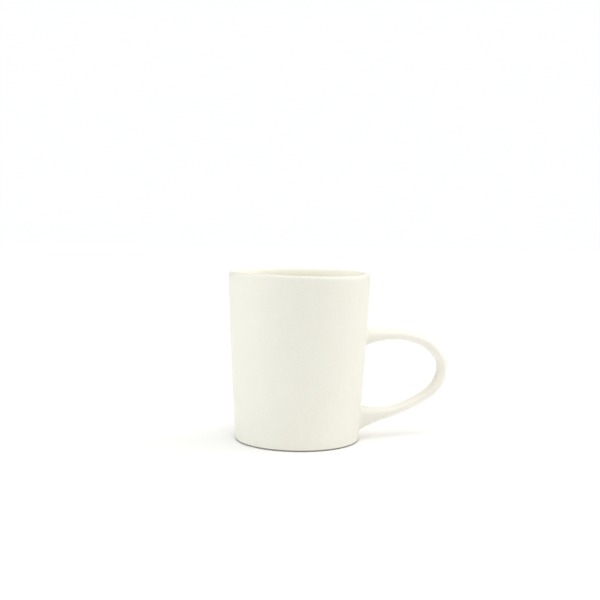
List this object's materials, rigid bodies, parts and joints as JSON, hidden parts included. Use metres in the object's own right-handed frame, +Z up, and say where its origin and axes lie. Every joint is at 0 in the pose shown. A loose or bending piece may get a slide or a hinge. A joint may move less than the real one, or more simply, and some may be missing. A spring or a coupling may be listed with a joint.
{
  "type": "ceramic mug",
  "caption": "Tapered ivory ceramic mug with a satin glaze, a rounded lip and an open loop handle joined to the cup by pads of slip.",
  "frame": {"origin": "on the surface the mug stands on, at the centre of the mug's bounding box seen from above; the cup's own axis is 23.0 mm from it towards -X", "axes": "+Z up through the mouth, +X the way the handle points, +Y to the left of the handle seen from above"},
  "size_m": [0.1258, 0.0798, 0.095],
  "materials": {
    "satin_glaze": "satin ivory glaze over fired clay",
    "glazed_slip": "joining slip under the same satin ivory glaze"
  },
  "bodies": {
    "root": {"cup_body": "satin_glaze", "handle": "satin_glaze", "upper_slip_joint": "glazed_slip", "lower_slip_joint": "glazed_slip"}
  },
  "joints": []
}
